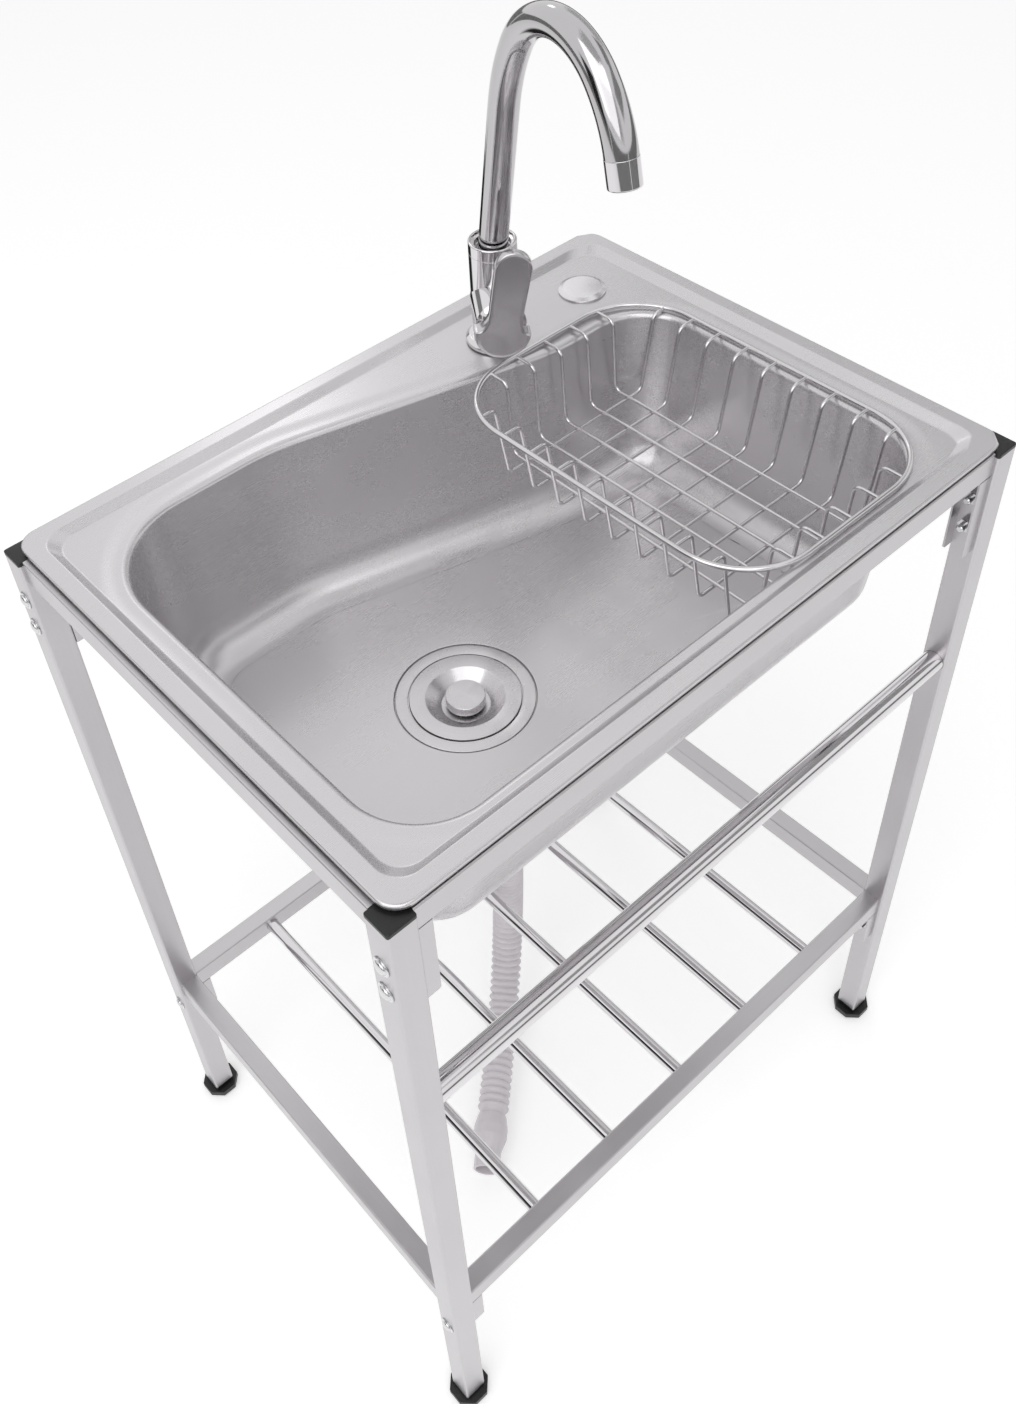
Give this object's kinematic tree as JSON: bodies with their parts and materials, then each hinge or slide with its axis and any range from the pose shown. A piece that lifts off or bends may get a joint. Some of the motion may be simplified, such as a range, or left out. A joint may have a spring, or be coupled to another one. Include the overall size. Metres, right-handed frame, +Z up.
{
  "type": "freestanding kitchen sink",
  "caption": "Freestanding stainless steel kitchen sink on a square-tube stand with a rod shelf, towel rail, swan-neck lever tap, lift-out strainer, wire basket and corrugated waste hose.",
  "frame": {"origin": "on the floor, under the middle of the stand's plan", "axes": "+X to the right as seen from the front, +Y to the back, where the tap is, +Z up"},
  "size_m": [0.6132, 0.4512, 1.1266],
  "materials": {
    "satin_steel": "satin square tube",
    "sink_steel": "brushed pressed sheet",
    "bright_chrome": "polished",
    "basket_wire": "polished wire",
    "zinc_steel": "zinc plated",
    "black_plastic": "moulded black",
    "seal_rubber": "soft black seal",
    "hose_plastic": "translucent pale corrugated plastic",
    "pale_plastic": "moulded pale grey",
    "tap_brass": "turned and threaded"
  },
  "bodies": {
    "base": {"leg_front_left": "satin_steel", "leg_front_right": "satin_steel", "leg_back_left": "satin_steel", "leg_back_right": "satin_steel", "top_rail_front": "satin_steel", "top_rail_back": "satin_steel", "top_rail_left": "satin_steel", "top_rail_right": "satin_steel", "shelf_rail_front": "satin_steel", "shelf_rail_back": "satin_steel", "shelf_rail_left": "satin_steel", "shelf_rail_right": "satin_steel", "sink_bowl": "sink_steel", "strainer_body": "sink_steel", "towel_rail": "bright_chrome", "shelf_rods": "bright_chrome", "hole_cover": "bright_chrome", "tap_foot_ring": "bright_chrome", "tap_body": "bright_chrome", "tap_collar": "bright_chrome", "top_brackets": "zinc_steel", "shelf_brackets": "zinc_steel", "top_bolts": "zinc_steel", "top_nuts": "zinc_steel", "shelf_bolts": "zinc_steel", "shelf_nuts": "zinc_steel", "leg_caps": "black_plastic", "foot_inserts": "black_plastic", "strainer_gasket": "seal_rubber", "tap_gasket": "seal_rubber", "tap_washer": "seal_rubber", "drain_hose": "hose_plastic", "hose_cuff": "hose_plastic", "hose_nut": "pale_plastic", "strainer_locknut": "pale_plastic", "spout_bush": "pale_plastic", "hole_cover_nut": "pale_plastic", "tap_shank": "tap_brass", "tap_inlets": "tap_brass", "tap_nut": "tap_brass"},
    "spout": {"tap_spout": "bright_chrome", "spout_aerator": "bright_chrome"},
    "stem": {"tap_stem": "bright_chrome"},
    "lever": {"tap_lever": "bright_chrome"},
    "strainer": {"strainer_basket": "sink_steel", "strainer_knob": "sink_steel"},
    "wire_basket": {"basket_rim": "basket_wire", "basket_cross_wires": "basket_wire", "basket_long_wires": "basket_wire"},
    "front_left_foot": {"foot_front_left": "black_plastic"},
    "front_right_foot": {"foot_front_right": "black_plastic"},
    "back_left_foot": {"foot_back_left": "black_plastic"},
    "back_right_foot": {"foot_back_right": "black_plastic"}
  },
  "joints": [
    {"name": "spout_swivel", "type": "hinge", "parent": "base", "child": "spout", "pos_m": [0.124, 0.154, 0.9], "axis": [0, 0, 1], "continuous": true},
    {"name": "lever_turn", "type": "hinge", "parent": "base", "child": "stem", "pos_m": [0.124, 0.154, 0.8565], "axis": [-0.5878, -0.809, 0], "range_deg": [-45, 45]},
    {"name": "lever_lift", "type": "hinge", "parent": "stem", "child": "lever", "pos_m": [0.11107, 0.1362, 0.8565], "axis": [0.809, -0.5878, 0], "range_deg": [0, 25]},
    {"name": "strainer_lift", "type": "slide", "parent": "base", "child": "strainer", "axis": [0, 0, 1], "range_m": [0, 0.08]},
    {"name": "basket_tip", "type": "hinge", "parent": "base", "child": "wire_basket", "pos_m": [0.145, 0.12125, 0.81585], "axis": [-1, 0, 0], "range_deg": [0, 40]},
    {"name": "front_left_foot_screw", "type": "slide", "parent": "base", "child": "front_left_foot", "axis": [0, 0, -1], "range_m": [0, 0.012]},
    {"name": "front_right_foot_screw", "type": "slide", "parent": "base", "child": "front_right_foot", "axis": [0, 0, -1], "range_m": [0, 0.012]},
    {"name": "back_left_foot_screw", "type": "slide", "parent": "base", "child": "back_left_foot", "axis": [0, 0, -1], "range_m": [0, 0.012]},
    {"name": "back_right_foot_screw", "type": "slide", "parent": "base", "child": "back_right_foot", "axis": [0, 0, -1], "range_m": [0, 0.012]}
  ]
}
